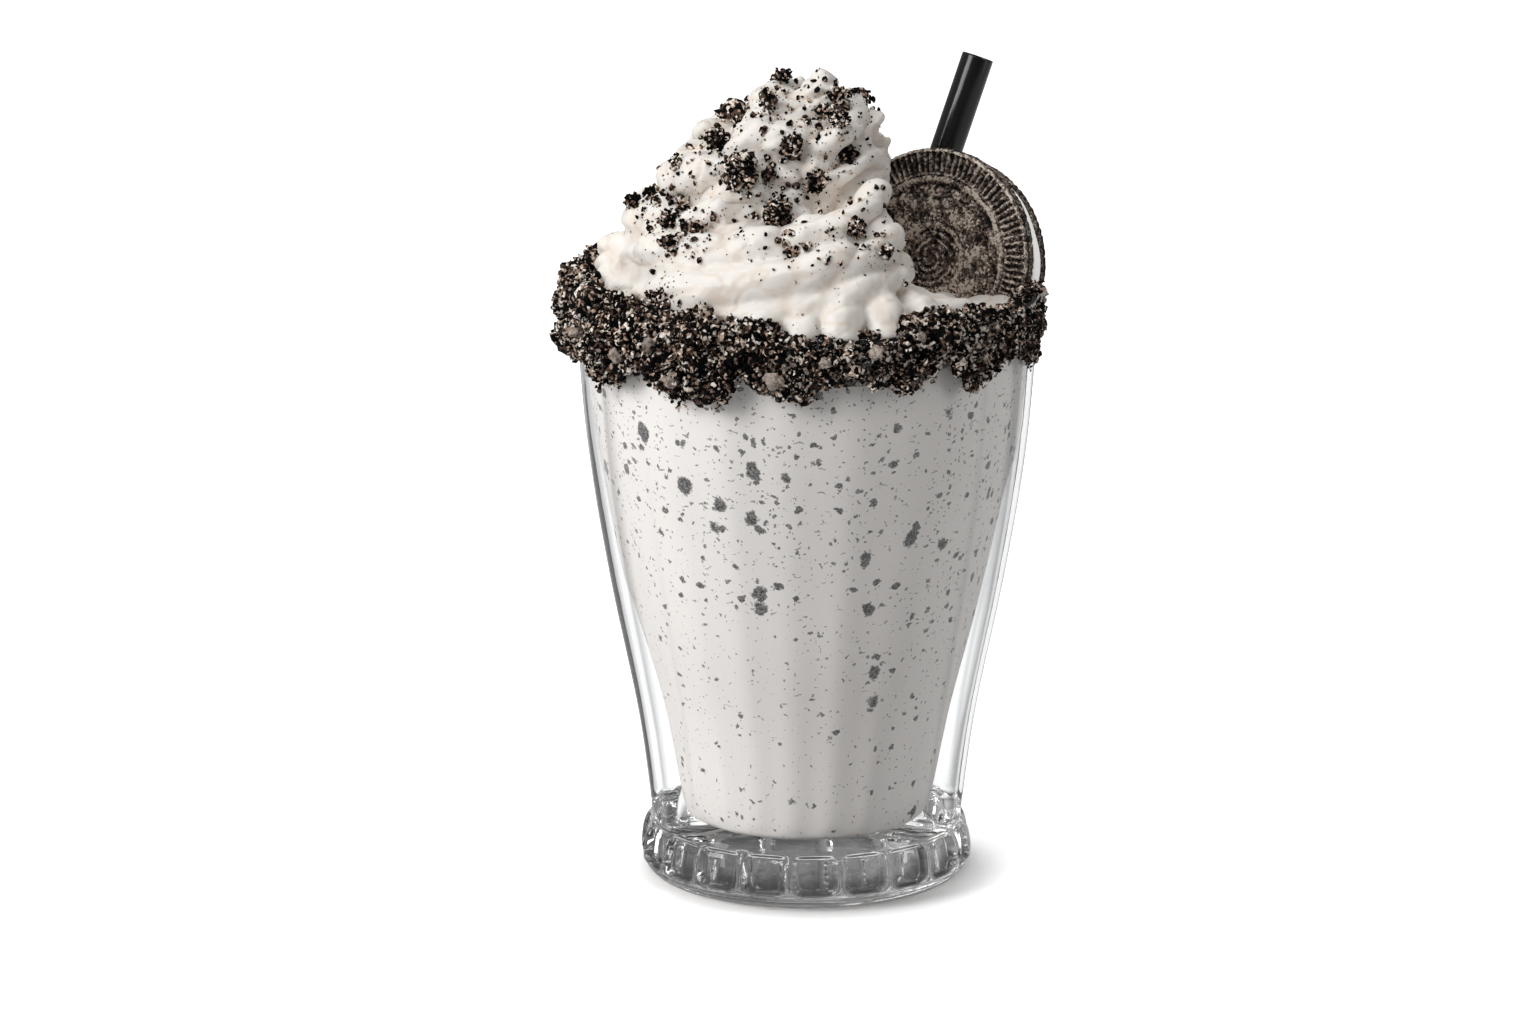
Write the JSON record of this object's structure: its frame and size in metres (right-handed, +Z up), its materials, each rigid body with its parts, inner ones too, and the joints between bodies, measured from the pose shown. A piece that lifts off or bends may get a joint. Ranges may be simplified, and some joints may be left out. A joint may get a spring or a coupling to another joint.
{
  "type": "cookies and cream milkshake",
  "caption": "Cookies and cream milkshake in a clear fluted footed glass, with a crumb crusted rim, whipped cream with cookie crumbs, a sandwich cookie and a black straw.",
  "frame": {"origin": "centre of the flat underside of the glass's foot", "axes": "+Z up along the axis of the glass, the front with the cookie's face towards -Y, the straw leaning towards +X"},
  "size_m": [0.1015, 0.1004, 0.1652],
  "materials": {
    "clear_glass": "clear, thick pressed glass with soft flutes",
    "milkshake": "smooth pale shake with dark cookie specks",
    "whipped_cream": "soft satin whipped cream",
    "cookie_crumbs": "rough dark cookie crumbs",
    "cookie_wafer": "dark baked cookie, dry and slightly rough",
    "cookie_filling": "firm white filling",
    "black_plastic": "glossy black drinking straw"
  },
  "bodies": {
    "root": {"glass": "clear_glass", "milkshake": "milkshake", "whipped_cream": "whipped_cream", "crumb_rim": "cookie_crumbs", "cookie_front_wafer": "cookie_wafer", "cookie_back_wafer": "cookie_wafer", "cookie_filling": "cookie_filling", "straw": "black_plastic"}
  },
  "joints": []
}
